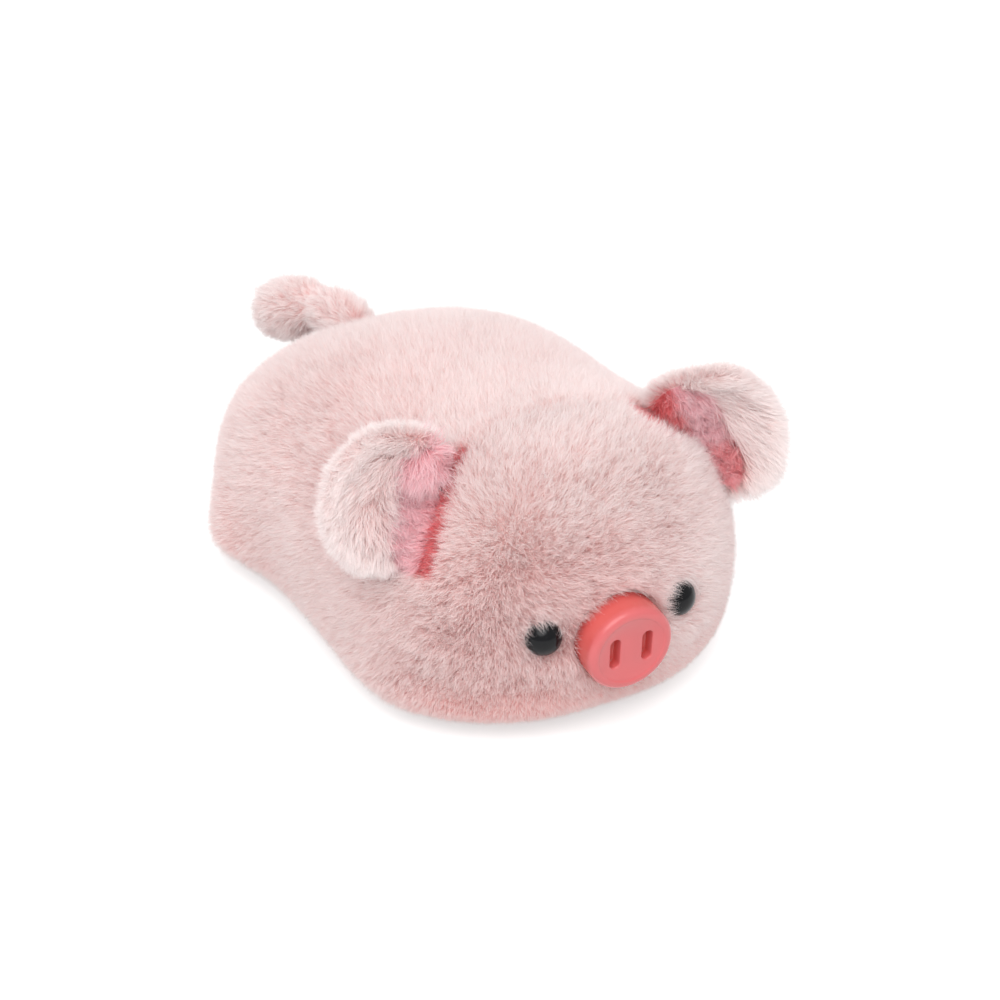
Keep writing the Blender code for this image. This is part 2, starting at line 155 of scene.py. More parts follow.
class Finish:
    # A material with one main shader
    def __init__(self, name, constants):
        self.material = bpy.data.materials.new(name)
        self.material.use_nodes = True
        self.tree = self.material.node_tree
        self.shader = self.tree.nodes["Principled BSDF"]
        self.feed(constants)

    def feed(self, values):
        for socket, value in values.items():
            plug(self.shader.inputs[socket], value)

    def node(self, kind, output, settings=None, values=None):
        node = self.tree.nodes.new(kind)
        for setting, value in (settings or {}).items():
            if setting == "stops":
                # A new ramp has a stop at 0 and one at 1
                elements = node.color_ramp.elements
                for place, colour in value[1:-1]:
                    elements.new(place)
                for element, (place, colour) in zip(elements, value):
                    element.color = colour
            else:
                setattr(node, setting, value)
        for socket, value in (values or {}).items():
            plug(node.inputs[socket], value)
        return Wire(node.outputs[output])

    def mixed(self, share, first, second):
        # Sockets 6 and 7 of a Mix node are its colours
        values = {0: share, 6: first, 7: second}
        return self.node("ShaderNodeMix", 2, {"data_type": "RGBA"}, values)

    def place(self):
        return self.node("ShaderNodeTexCoord", "Object")

    def noise(self, scale, detail):
        values = {"Scale": scale, "Detail": detail, "Vector": self.place()}
        return self.node("ShaderNodeTexNoise", 0, {}, values)

    def bump(self, height, strength, distance):
        values = {"Height": height, "Strength": strength, "Distance": distance}
        return self.node("ShaderNodeBump", 0, {}, values)


view = {
    "target": (0.0, -0.0382, 0.0459),
    "azimuth": -27.0,
    "elevation": 31.4,
    "distance": 0.780,
    "lens": 85.0,
}
light = {
    "worldStrength": 0.715,
    "topPower": 6.4,
    "topSize": 0.9,
    "topPlace": (-0.30, -0.50, 0.76),
    "topAim": (0.0, -0.01, 0.04),
    "floorSize": 3.0,
    "floorLift": 0.50,  # what the camera sees added to the floor, to bring it to white
}


def makeCamera():
    azimuth, elevation = math.radians(view["azimuth"]), math.radians(view["elevation"])
    level = math.cos(elevation)
    back = Vector((math.sin(azimuth) * level, -math.cos(azimuth) * level, math.sin(elevation)))
    data = bpy.data.cameras.new("camera")
    data.lens = view["lens"]
    data.clip_start = 0.01
    camera = inScene("camera", data)
    camera.location = Vector(view["target"]) + back * view["distance"]
    camera.rotation_euler = (-back).to_track_quat("-Z", "Y").to_euler()
    bpy.context.scene.camera = camera


def makeLight():
    world = bpy.data.worlds.new("studio")
    bpy.context.scene.world = world
    world.use_nodes = True
    nodes = world.node_tree.nodes
    path, inputs = nodes.new("ShaderNodeLightPath"), nodes["Background"].inputs
    seen = Wire(path.outputs["Is Camera Ray"]) + Wire(path.outputs["Is Transmission Ray"])
    plug(inputs["Color"], (1.0, 1.0, 1.0, 1.0))
    plug(inputs["Strength"], light["worldStrength"] + seen * (1.0 - light["worldStrength"]))

    data = bpy.data.lights.new("softbox", "AREA")
    data.shape = "DISK"
    data.size = light["topSize"]
    data.energy = light["topPower"]
    lamp = inScene("softbox", data)
    lamp.location = light["topPlace"]
    aim = Vector(light["topAim"]) - lamp.location
    lamp.rotation_euler = aim.to_track_quat("-Z", "Y").to_euler()


def makeFloor():
    finish = Finish("floorPaper", {"Roughness": 0.9})
    grain = finish.noise(40.0, 2.0)
    shade = finish.mixed(grain, tint(224, 224, 224), tint(227, 227, 227))
    path = finish.tree.nodes.new("ShaderNodeLightPath")
    seen = Wire(path.outputs["Is Camera Ray"]) + Wire(path.outputs["Is Glossy Ray"])
    finish.feed({"Base Color": shade, "Emission Color": (1.0, 1.0, 1.0, 1.0)})
    finish.feed({"Emission Strength": seen * light["floorLift"]})
    bm = bmesh.new()
    bmesh.ops.create_grid(bm, x_segments=8, y_segments=8, size=light["floorSize"])
    mesh = meshFrom("floor", bm)
    mesh.materials.append(finish.material)
    inScene("floor", mesh)


print("stage: camera, light and floor")
makeCamera()
makeLight()
makeFloor()


longPile = {
    "roots": (tint(243, 178, 174), tint(255, 219, 216)),  # of rosy strands, of pale strands
    "middles": (tint(252, 228, 226), tint(255, 249, 248)),
    "tips": (tint(255, 247, 246), tint(255, 254, 254)),
    "glow": tint(255, 248, 247),  # light that passes through a strand
}
curledPile = {
    "roots": (tint(220, 78, 78), tint(255, 212, 218)),  # of deep strands, of light strands
    "middles": (tint(236, 104, 104), tint(255, 228, 232)),
    "tips": (tint(242, 130, 130), tint(255, 246, 248)),
    "glow": tint(255, 226, 231),
}
strands = {
    "toneSteps": 64,
    "glowShare": 0.45,
    "rootEnd": 0.25,  # the root's colour as far as this share of the length
    "middle": 0.62,
    "taper": 0.55,
    "floorGap": 0.0002,
}


def pileFinish(name, colours):
    # Each strand's map holds its tone across and its length from root to tip
    finish = Finish(name, {"Roughness": 0.85, "Specular IOR Level": 0.25})
    lit = finish.node("ShaderNodeBsdfTranslucent", 0, {}, {"Color": colours["glow"]})
    values = {0: strands["glowShare"], 1: Wire(finish.shader.outputs[0]), 2: lit}
    both = finish.node("ShaderNodeMixShader", 0, {}, values)
    plug(finish.tree.nodes["Material Output"].inputs["Surface"], both)
    place = finish.node("ShaderNodeUVMap", "UV", {"uv_map": "OFBake"})
    parts = [finish.node("ShaderNodeSeparateXYZ", axis, {}, {"Vector": place}) for axis in "XY"]
    tone, length = parts
    shades = []
    for root, middle, tip in zip(colours["roots"], colours["middles"], colours["tips"]):
        stops = [(0.0, root), (strands["rootEnd"], root), (strands["middle"], middle), (1.0, tip)]
        shades.append(finish.node("ShaderNodeValToRGB", 0, {"stops": stops}, {0: length}))
    finish.feed({"Base Color": finish.mixed(tone, shades[0], shades[1])})
    return finish.material


def backingFinish(name, colour, deep):
    # Knitted backing cloth under the pile
    finish = Finish(name, {"Roughness": 0.95, "Specular IOR Level": 0.2})
    place = finish.place()
    waves = {"wave_type": "BANDS", "bands_direction": "DIAGONAL"}
    rows = finish.node("ShaderNodeTexWave", 1, waves, {"Vector": place, "Scale": 420.0})
    clouds = finish.noise(90.0, 4.0)
    shade = finish.mixed(clouds * 0.7 + rows * 0.3, deep, colour)
    finish.feed({"Base Color": shade, "Normal": finish.bump(rows, 0.4, 0.0004)})
    return finish.material


def bladeTemplate(segments):
    # One flat strand: (share of its length, side) of each corner, and its triangles
    bm = bmesh.new()
    bmesh.ops.create_grid(bm, x_segments=1, y_segments=segments, size=1.0)
    tip = [vert for vert in bm.verts if vert.co.y > 0.99]
    bmesh.ops.pointmerge(bm, verts=tip, merge_co=(0.0, 1.0, 0.0))
    bmesh.ops.triangulate(bm, faces=bm.faces)
    bm.verts.index_update()
    corners = np.array([(0.5 + 0.5 * vert.co.y, vert.co.x) for vert in bm.verts])
    triangles = np.array([[vert.index for vert in face.verts] for face in bm.faces])
    bm.free()
    return corners, triangles


bentBlade = bladeTemplate(2)
straightBlade = bladeTemplate(1)


def waveField(points, wavelength, seed, count=7):
    # A smooth random vector for each point, made of a few plane waves
    rng = np.random.default_rng(seed)
    total = np.zeros_like(points)
    for _ in range(count):
        heading = unitRows(rng.normal(size=(1, 3)))[0]
        reach = wavelength * rng.uniform(0.7, 1.5)
        push = unitRows(rng.normal(size=(1, 3)))[0]
        phase = rng.uniform(0.0, math.tau)
        total += np.sin(points @ heading * math.tau / reach + phase)[:, None] * push
    return total / math.sqrt(count) * 1.4


def scatterRoots(mesh, count, seed, weight=None):
    # Even random places on a mesh, with the surface's normal at each
    mesh.calc_loop_triangles()
    triangles = np.zeros(len(mesh.loop_triangles) * 3, np.int32)
    mesh.loop_triangles.foreach_get("vertices", triangles)
    triangles = triangles.reshape(-1, 3)
    points, normals = meshRows(mesh), meshRows(mesh, "normal")
    a, b, c = (points[triangles[:, i]] for i in range(3))
    areas = np.linalg.norm(np.cross(b - a, c - a), axis=1)
    if weight is not None:
        areas = areas * weight((a + b + c) / 3.0)
    rng = np.random.default_rng(seed)
    steps = np.cumsum(areas)
    picked = np.searchsorted(steps, rng.uniform(0.0, steps[-1], count))
    first, second = rng.uniform(size=(2, count))
    flip = first + second > 1.0
    first[flip], second[flip] = 1.0 - first[flip], 1.0 - second[flip]
    shares = np.stack([1.0 - first - second, first, second], 1)
    corners = triangles[picked]
    place = np.einsum("nk,nkd->nd", shares, points[corners])
    normal = unitRows(np.einsum("nk,nkd->nd", shares, normals[corners]))
    return place, normal


def growStrands(roots, normals, lean, length, style, seed):
    # The four points of each strand's middle line. Lean is along the surface, against an
    # upright part of one. Neighbours are drawn together into locks.
    rng = np.random.default_rng(seed)
    count = len(roots)
    stray = rng.normal(size=(count, 3)) * style["stray"]
    start = unitRows(normals + lean * 0.45 + stray * 0.5)
    bent = unitRows(normals * style["upright"] + lean + stray)
    drop = np.array((0.0, 0.0, -style["droop"]))
    end = unitRows(normals * style["upright"] * 0.8 + lean * 1.25 + stray * 1.7 + drop)
    reach = (length * rng.uniform(style["shortest"], 1.0, count))[:, None]
    line = [roots]
    for share, heading in ((0.36, start), (0.34, bent), (0.30, end)):
        line.append(line[-1] + heading * reach * share)
    lockCount = max(2, int(count / style["lockSize"]))
    picked = rng.permutation(count)[:lockCount]
    tree = KDTree(lockCount)
    for i, row in enumerate(roots[picked]):
        tree.insert(row, i)
    tree.balance()
    owner = picked[np.array([tree.find(row)[1] for row in roots])]
    for i, pull in ((2, 0.35), (3, 1.0)):
        target = line[i][owner] - line[0][owner] + roots
        gather = roots[owner] - roots
        wanted = target + gather * 0.8
        line[i] = line[i] + (wanted - line[i]) * (pull * style["lock"])
    return line


def bladeRows(line, normals, tone, width, rng, blade):
    # Corners, triangles and map of flat tapered strands along the middle lines
    corners, triangles = blade
    count = len(tone)
    along = np.stack(line, 1)
    steps = len(line) - 1
    heading = unitRows(line[-1] - line[0])
    across = unitRows(np.cross(heading, normals + rng.normal(size=(count, 3)) * 0.55))
    across *= (width * rng.uniform(0.75, 1.25, count))[:, None]
    verts = np.zeros((count, len(corners), 3))
    for i, (share, side) in enumerate(corners):
        spot = share * steps
        low = min(int(spot), steps - 1)
        part = spot - low
        middle = along[:, low] * (1.0 - part) + along[:, low + 1] * part
        thickness = 0.5 * (1.0 - strands["taper"] * share * share)
        verts[:, i] = middle + across * (side * thickness)
    verts[:, :, 2] = np.maximum(verts[:, :, 2], strands["floorGap"])
    faces = (np.arange(count) * len(corners))[:, None, None] + triangles[None]
    toneSteps = strands["toneSteps"]
    column = np.clip((tone * toneSteps).astype(int), 0, toneSteps - 1)
    spread = 0.30 * corners[:, 1]
    u = (column[:, None] + 0.5 + spread[None]) / toneSteps
    v = np.broadcast_to(0.01 + 0.98 * corners[:, 0], u.shape)
    chart = np.stack([u, v], -1)[:, triangles]
    return verts.reshape(-1, 3), faces.reshape(-1, 3), chart.reshape(-1, 2)


def strandPiece(name, line, normals, tone, style, body, slot, seed, *nodes):
    # One mesh of strands, a share of them straight
    rng = np.random.default_rng(seed)
    cut = int(len(tone) * style["straight"])
    made, start = [], 0
    for rows, blade in ((slice(0, cut), straightBlade), (slice(cut, None), bentBlade)):
        parts = (kept(rows, *line), normals[rows], tone[rows])
        verts, faces, chart = bladeRows(*parts, style["width"], rng, blade)
        made.append((verts, faces + start, chart))
        start += len(verts)
    verts, faces, chart = (np.concatenate(rows) for rows in zip(*made))
    mesh = bpy.data.meshes.new(name)
    mesh.from_pydata(verts, [], faces)
    layer = mesh.uv_layers.new(name="OFBake")
    layer.data.foreach_set("uv", chart.astype(np.float32).ravel())
    print("pile:", name, len(faces), "triangles")
    pieceFrom(mesh, coats[slot], body, slot, *nodes)


coats = {
    "pile_fabric": pileFinish("longPile", longPile),
    "ear_lining_fabric": pileFinish("curledPile", curledPile),
}
backingMaterial = backingFinish("backingCloth", tint(255, 238, 235), tint(252, 226, 223))
liningBacking = backingFinish("liningCloth", tint(250, 176, 182), tint(238, 144, 150))


snout = {
    "centre": (0.0016, -0.1240, 0.0382),  # middle of its front face
    "dip": math.radians(3.0),
    "radius": 0.0146,
    "depth": 0.0110,
    "edgeRound": 0.0022,
    "faceRim": 0.0012,  # width of the raised rim
    "faceDrop": 0.0005,
    "slotSpacing": 0.0112,
    "slotWidth": 0.0034,
    "slotHeight": 0.0106,
    "slotDepth": 0.0038,
    "slotRound": 0.0007,
    "stemRadius": 0.0035,
    "stemEnd": 0.0017,
    "stemLength": 0.0130,
    "blushDepth": 0.0034,  # redder from here back, in the slots and on the side: painted shade
    "faceDepth": 0.0007,
}
eyes = {
    "left": ((0.0266, -0.1126, 0.0427), (0.350, -0.930, 0.085)),
    "right": ((-0.0232, -0.1135, 0.0432), (-0.290, -0.950, 0.090)),
    "radius": 0.0058,
    "height": 0.0054,
    "seat": 0.0028,
    "edge": 0.0006,
    "rings": 12,
    "stemRadius": 0.0016,
    "stemLength": 0.0090,
    "parting": {"left": -0.75, "right": -0.34},  # how far the pile leans away from a bead
}


def faceAxis(name):
    # The middle and the outward direction of the snout or of an eye
    if name == "snout":
        facing = (0.0, -math.cos(snout["dip"]), -math.sin(snout["dip"]))
        return np.array(snout["centre"]), np.array(facing)
    place, facing = (np.array(part) for part in eyes[name])
    return place, facing / np.linalg.norm(facing)


def besideAxis(points, name):
    # How far each point lies from that axis, which way, and how far ahead along it
    place, facing = faceAxis(name)
    ahead = (points - place) @ facing
    offset = points - place - ahead[:, None] * facing
    return np.linalg.norm(offset, axis=1), offset, ahead


def facingTurn(place, facing):
    # Puts a piece's own Z along facing and its Y upwards
    z = Vector(facing).normalized()
    x = Vector((0.0, 0.0, 1.0)).cross(z).normalized()
    return Matrix.Translation(place) @ Matrix((x, z.cross(x), z)).transposed().to_4x4()


def arcPoints(centre, radius, start, stop, steps):
    points = []
    for i in range(steps + 1):
        angle = math.radians(start + (stop - start) * i / steps)
        points.append((centre[0] + radius * math.cos(angle), centre[1] + radius * math.sin(angle)))
    return points


def spunForm(profile, steps):
    # Turns (radius, height) points about Z
    bm = bmesh.new()
    row = [bm.verts.new((radius, 0.0, height)) for radius, height in profile]
    edges = [bm.edges.new(pair) for pair in zip(row, row[1:])]
    turn = {"cent": (0.0, 0.0, 0.0), "axis": (0.0, 0.0, 1.0), "angle": math.tau}
    bmesh.ops.spin(bm, geom=row + edges, steps=steps, use_merge=True, **turn)
    bmesh.ops.remove_doubles(bm, verts=bm.verts, dist=0.00001)
    bmesh.ops.recalc_face_normals(bm, faces=bm.faces)
    return bm


def growRings(bm, edges, outline, centre=0.0, stretch=0.0):
    # Extrudes a round or long loop of edges through (radius, height) places and closes it
    for reach, height in outline:
        made = bmesh.ops.extrude_edge_only(bm, edges=edges)["geom"]
        for vert in [item for item in made if isinstance(item, bmesh.types.BMVert)]:
            shift = math.copysign(stretch, vert.co.y)
            around = Vector((vert.co.x - centre, vert.co.y - shift, 0.0)).normalized() * reach
            vert.co = (centre + around.x, around.y + shift, height)
        edges = [item for item in made if isinstance(item, bmesh.types.BMEdge)]
    bmesh.ops.edgeloop_fill(bm, edges=edges)


def makeSnout():
    finish = Finish("mouldedSnout", {"Roughness": 0.34, "Specular IOR Level": 0.45})
    clouds = finish.noise(130.0, 3.0)
    grain = finish.noise(2600.0, 2.0)
    shade = finish.mixed(clouds, tint(206, 98, 100), tint(212, 105, 107))
    centre, facing = faceAxis("snout")
    dot = {"operation": "DOT_PRODUCT"}
    values = {0: finish.place(), 1: tuple(facing)}
    ahead = finish.node("ShaderNodeVectorMath", "Value", dot, values)
    level = float(centre @ facing)
    limits = {"From Min": level - snout["blushDepth"], "From Max": level - snout["faceDepth"]}
    front = finish.node("ShaderNodeMapRange", 0, {}, {"Value": ahead, **limits})
    # Behind the face, in the slots and on the side, a redder colour paints shade
    shade = finish.mixed(front, tint(206, 88, 84), shade)
    finish.feed({"Base Color": shade, "Roughness": 0.20 + grain * 0.08})
    finish.feed({"Normal": finish.bump(grain, 0.12, 0.0001)})

    radius, rim = snout["radius"], snout["edgeRound"]
    bm = bmesh.new()
    flat = radius - rim - snout["faceRim"]
    drop = snout["faceDrop"]
    loops = [bmesh.ops.create_circle(bm, segments=96, radius=flat)["verts"]]
    stretch = 0.5 * (snout["slotHeight"] - snout["slotWidth"])
    mouth = 0.5 * snout["slotWidth"] + snout["slotRound"]
    for side in (-1.0, 1.0):
        centre = side * 0.5 * snout["slotSpacing"]
        ring = bmesh.ops.create_circle(bm, segments=40, radius=mouth)["verts"]
        for vert in ring:
            vert.co.y += math.copysign(stretch, vert.co.y)
            vert.co.x += centre
        loops.append(ring)
    bm.edges.index_update()
    edgeLoops = [{edge for vert in ring for edge in vert.link_edges} for ring in loops]
    edgeLoops = [sorted(ring, key=lambda edge: edge.index) for ring in edgeLoops]
    bmesh.ops.triangle_fill(bm, use_beauty=True, edges=[e for ring in edgeLoops for e in ring])

    back, stem = -snout["depth"], snout["stemRadius"]
    end = back - snout["stemLength"]
    rises = ((0.15, 0.25), (0.35, 0.8), (0.55, 1.0), (0.8, 1.0))
    outline = [(flat + share * snout["faceRim"], rise * drop) for share, rise in rises]
    outline += [(x, y + drop) for x, y in arcPoints((radius - rim, -rim), rim, 90.0, 0.0, 8)]
    outline += [(radius, 0.5 * back), (radius, back + 0.0008), (radius - 0.0008, back)]
    outline += [(stem, back), (stem, end + 0.0014), (snout["stemEnd"], end)]
    growRings(bm, edgeLoops[0], outline)
    half, lip = 0.5 * snout["slotWidth"], snout["slotRound"]
    inner = arcPoints((half + lip, -lip), lip, 90.0, 180.0, 5)[1:]
    inner += [(half - 0.0001, -0.5 * snout["slotDepth"])]
    inner += arcPoints((half - 0.0007, -snout["slotDepth"] + 0.0005), 0.0005, 0.0, -90.0, 3)
    for side, edges in zip((-1.0, 1.0), edgeLoops[1:]):
        growRings(bm, edges, inner, side * 0.5 * snout["slotSpacing"], stretch)
    bmesh.ops.recalc_face_normals(bm, faces=bm.faces)
    bm.transform(Matrix.Translation((0.0, 0.0, -drop)))
    bm.transform(facingTurn(*faceAxis("snout")))
    mesh = meshFrom("snout_disc", bm)
    pieceFrom(mesh, finish.material, "pig_body", "snout_plastic", "snout")


def makeEyes():
    finish = Finish("polishedBead", {"Specular IOR Level": 0.22})
    clouds = finish.noise(400.0, 2.0)
    shade = finish.mixed(clouds, (0.003, 0.003, 0.004, 1.0), (0.006, 0.006, 0.007, 1.0))
    finish.feed({"Base Color": shade, "Roughness": 0.12 + clouds * 0.10})
    seat, radius, stem, edge = -eyes["seat"], eyes["radius"], eyes["stemRadius"], eyes["edge"]
    rise = eyes["height"] - edge
    end = seat - eyes["stemLength"]
    for label in sides:
        profile = [(0.0, seat + edge + rise)]
        for i in range(1, eyes["rings"] + 1):
            angle = 0.5 * math.pi * (1.0 - i / eyes["rings"])
            profile.append((radius * math.cos(angle), seat + edge + rise * math.sin(angle)))
        profile += [(radius - edge / 3.0, seat + edge / 6.0), (radius - edge, seat)]
        profile += [(stem, seat), (stem, end + edge), (0.5 * stem, end), (0.0, end)]
        bm = spunForm(profile, 48)
        bm.transform(facingTurn(*faceAxis(label)))
        mesh = meshFrom("eye_bead_" + label, bm)
        pieceFrom(mesh, finish.material, "pig_body", "bead_plastic", "eye_" + label)


def finishWashers():
    finish = Finish("washerPlastic", {"Roughness": 0.45})
    grain = finish.noise(900.0, 2.0)
    shade = finish.mixed(grain, tint(226, 225, 218), tint(240, 239, 233))
    finish.feed({"Base Color": shade, "Roughness": 0.38 + grain * 0.15})
    for name in ("eye_washer_left", "eye_washer_right", "snout_washer"):
        for holder in frame["nodes"][name].material_slots:
            holder.material = finish.material


print("face: snout, eyes and washers")
makeSnout()
makeEyes()
finishWashers()


bodyForm = {
    "middleY": -0.034,
    "rearReach": 0.132,
    "frontReach": 0.083,
    "halfWidths": (0.067, 0.073, 0.067, 0.069, 0.054),
    "topHeights": (0.066, 0.082, 0.090, 0.102, 0.112),
    "widestHeights": (0.022, 0.0225, 0.025),
    "sideBluntness": 2.7,
    "topBluntness": 2.65,
    "bellyBluntness": 3.5,
    "upperSquareness": 2.4,
    "lowerSquareness": 3.6,
    "bellySag": 0.0005,
    "haunchSwell": 0.0095,
    "haunchPlace": (0.032, 0.010),
    "haunchSize": (0.020, 0.022),
    "clothDepth": 0.0040,  # the cloth under the pile lies this far inside the frame's skin
}
bodyPile = {
    "count": 700000,
    "straight": 0.58,
    "length": 0.0082,
    "shortest": 0.66,
    "width": 0.00016,
    "stray": 0.27,
    "upright": 0.92,
    "droop": 0.18,
    "lock": 0.30,
    "lockSize": 34,
    "headShare": 1.35,  # strands on the head against those on the body
    "bellyShare": 0.18,  # and under the toy
    "parting": 0.20,
    "faceComb": 0.26,  # the pile of the head leans away from the snout
    "headDrift": (0.16, 0.0, 0.08),
    "pressed": 0.9,  # how flat it lies under the toy
    "tone": 0.58,
}


def curveOf(values):
    # The smooth curve through values at even stations from -1 to 1
    stations = np.linspace(-1.0, 1.0, len(values))
    return np.polynomial.Polynomial.fit(stations, values, len(values) - 1)


def blunt(station, bluntness):
    return np.maximum(0.0, 1.0 - np.abs(station) ** bluntness) ** (1.0 / bluntness)


def signedPower(value, power):
    return np.sign(value) * np.abs(value) ** power


def bodyPoints(units):
    # Takes points of the unit sphere, whose z runs from the rear (-1) to the face (1)
    form = bodyForm
    station = units[:, 2]
    angle = np.arctan2(units[:, 1], units[:, 0])
    across, rise = np.cos(angle), np.sin(angle)
    level = curveOf(form["widestHeights"])(station)
    high = (curveOf(form["topHeights"])(station) - level) * blunt(station, form["topBluntness"])
    low = (level + form["bellySag"]) * blunt(station, form["bellyBluntness"])
    above = rise > 0.0
    reach = np.where(above, high, low)
    squareness = np.where(above, form["upperSquareness"], form["lowerSquareness"])
    half = curveOf(form["halfWidths"])(station) * blunt(station, form["sideBluntness"])
    x = half * signedPower(across, 2.0 / squareness)
    y = form["middleY"] - station * np.where(station < 0.0, form["rearReach"], form["frontReach"])
    z = level + reach * signedPower(rise, 2.0 / squareness)
    back = (y - form["haunchPlace"][0]) / form["haunchSize"][0]
    up = (z - form["haunchPlace"][1]) / form["haunchSize"][1]
    swell = form["haunchSwell"] * np.exp(-back * back - up * up)
    x = x + swell * signedPower(across, 0.5)
    return np.stack([x, y, z], 1)


def shapedSphere(around, along, shape, grow):
    # A sphere taken to a form, then moved in or out along its normals. The operator lists
    # its faces in another order at each run, so they are made again in a fixed one.
    ball = bmesh.new()
    bmesh.ops.create_uvsphere(ball, u_segments=around, v_segments=along, radius=1.0)
    ball.verts.index_update()
    faces = []
    for face in ball.faces:
        corners = [vert.index for vert in face.verts]
        first = corners.index(min(corners))
        faces.append(corners[first:] + corners[:first])
    places = shape(np.array([vert.co for vert in ball.verts]))
    ball.free()
    bm = bmesh.new()
    verts = [bm.verts.new(place) for place in places]
    for corners in sorted(faces):
        bm.faces.new([verts[i] for i in corners])
    bmesh.ops.recalc_face_normals(bm, faces=bm.faces)
    bm.normal_update()
    moves = [vert.normal * grow for vert in bm.verts]
    for vert, move in zip(bm.verts, moves):
        vert.co += move
    return bm


def makeBodyCloth():
    bm = shapedSphere(96, 72, bodyPoints, -bodyForm["clothDepth"])
    mesh = meshFrom("body_cloth", bm)
    nodes = ("body_stuffing", "head_stuffing")
    piece = pieceFrom(mesh, backingMaterial, "pig_body", "pile_fabric", *nodes)
    return piece


print("body: stuffed cloth form")
bodyCloth = makeBodyCloth()


ear = {
    "point": (0.0429, -0.0705, 0.0774),
    "heading": (0.353, -0.133, -0.926),
    "turns": {"left": math.radians(28.7), "right": math.radians(6.7)},
    "leans": {"left": 0.14, "right": 0.02},
    "halfLength": 0.0235,
    "centreOut": 0.0144,
    "halfReach": 0.0194,
    "squareness": 2.5,
    "cup": 0.0105,
    "thickness": 0.0080,
    "seamThickness": 0.0028,
    "taper": (0.0040, 0.0160),
    "seamOut": 0.0035,
    "seamSlope": math.radians(22.5),
    "liningHalfLength": 0.0195,
    "liningSquareness": 3.4,
    "liningInset": 0.0022,  # the lining's cloth inside the edge of its pile
    "liningEdges": {"left": (0.0005, 0.0200), "right": (0.0005, 0.0136)},
    "pinkEnds": {"left": (-0.0215, 0.0250), "right": (-0.0185, 0.0205)},  # of its pile
    "pinkReach": {"left": (0.0200, 5.7), "right": (0.0142, 0.0)},  # and how it narrows upwards
    "liningSwell": {"left": 0.0014, "right": 0.0036},  # the lining is fuller at its root
    "liningSwellWidth": 0.0060,
}
earPile = {
    "count": 56000,
    "straight": 0.40,
    "lengths": {"left": 0.0146, "right": 0.0094},
    "topShares": {"left": 0.62, "right": 0.92},  # length at the ear's top against its foot
    "shortest": 0.62,
    "width": 0.00017,
    "stray": 0.26,
    "upright": 0.46,
    "droop": 0.10,
    "backLean": 0.72,
    "rimWeight": 3.2,  # more strands round the rim
    "rimStray": 0.55,
    "tone": 0.80,  # from 0, rosy, to 1, pale
    "fullness": {"left": 0.10, "right": 0.30},  # more length inside the cup
    "drape": {"left": 0.0, "right": 0.8},  # how much the pile under the ear's top hangs down
    "hang": (0.75, 0.30),  # and which way, along the ear and out
    "blush": {"left": 0.06, "right": 0.30},  # rosier strands in a ring on its front
    "lock": 0.42,
    "lockSize": 26,
    "inset": 0.0038,  # the cloth's edge inside the frame's
    "clothFront": -0.0004,
    "filling": {"left": 0.0010, "right": 0.0026},  # the pale part is fuller in its middle
    "clothBack": 0.42,  # share of the frame's thickness
    "fanCentre": 0.0100,  # the pile fans out from here, this far out from the head
    "fanTops": {"left": -0.0110, "right": -0.0190},  # on the front from nearer the ear's top
}
liningPile = {
    "clothBack": 0.40,
    "count": 16000,  # on each side of its cloth
    "edgeCount": 60000,  # on the ear's whole cloth, kept only where the colour runs on
    "straight": 0.20,
    "lengths": {"left": 0.0066, "right": 0.0092},
    "combs": {"left": (0.62, 0.22), "right": (0.60, -0.30)},  # along the ear, and out
    "creases": {"left": 0.0052, "right": -0.0020},  # deep-coloured as far as this: painted shade in the crease by the head
    "deep": {"left": (0.46, 0.22), "right": (0.0, 0.0)},  # and deeper low down, and at its edge
    "shortest": 0.50,
    "width": 0.00021,
    "stray": 0.50,
    "upright": 0.62,
    "droop": 0.0,
    "lock": 0.68,
    "lockSize": 16,
}
rootPile = {
    "straight": 0.30,
    "width": 0.00018,
    "reach": {"left": 0.0200, "right": 0.0175},  # lining-coloured pile on the head by an ear
    "middle": {"left": -0.0080, "right": 0.0060},
    "narrowing": {"left": 70.0, "right": 34.0},
    "soft": {"left": 0.0110, "right": 0.0030},
    "crease": {"left": 0.0, "right": 0.0062},  # width of the short pile along its edge, painted deep as shade in the crease
    "fold": {"left": 0.0090, "right": 0.0},  # or within this of the ear's front
    "cropped": {"left": 0.30, "right": 0.50},
    "regrowth": {"left": 0.0130, "right": 0.0001},  # and full length again over this height
}


def earTurn(label):
    # The matrix from an ear's own axes, X along its seam and Z forward, to the frame
    side = sideOf(label)
    along = Vector(ear["heading"]).normalized()
    sideways = (Vector((1.0, 0.0, 0.0)) - along * along.x).normalized()
    out = Matrix.Rotation(ear["turns"][label], 3, along) @ sideways
    forward = along.cross(out)
    place = Vector(ear["point"]) + out * ear["seamOut"]
    heading = Matrix.Rotation(ear["seamSlope"], 3, forward) @ along
    outward = forward.cross(heading)
    axes = [heading * side, outward, forward]
    for vector in [place] + axes:
        vector.x *= side
    return Matrix.Translation(place) @ Matrix(axes).transposed().to_4x4()


def earThickness(out):
    rise = ear["thickness"] - ear["seamThickness"]
    return ear["seamThickness"] + rise * easeShare(out, *ear["taper"])


def cupRise(along):
    return ear["cup"] * (along / ear["halfLength"]) ** 2


def sideOf(label):
    return 1.0 if label == "left" else -1.0


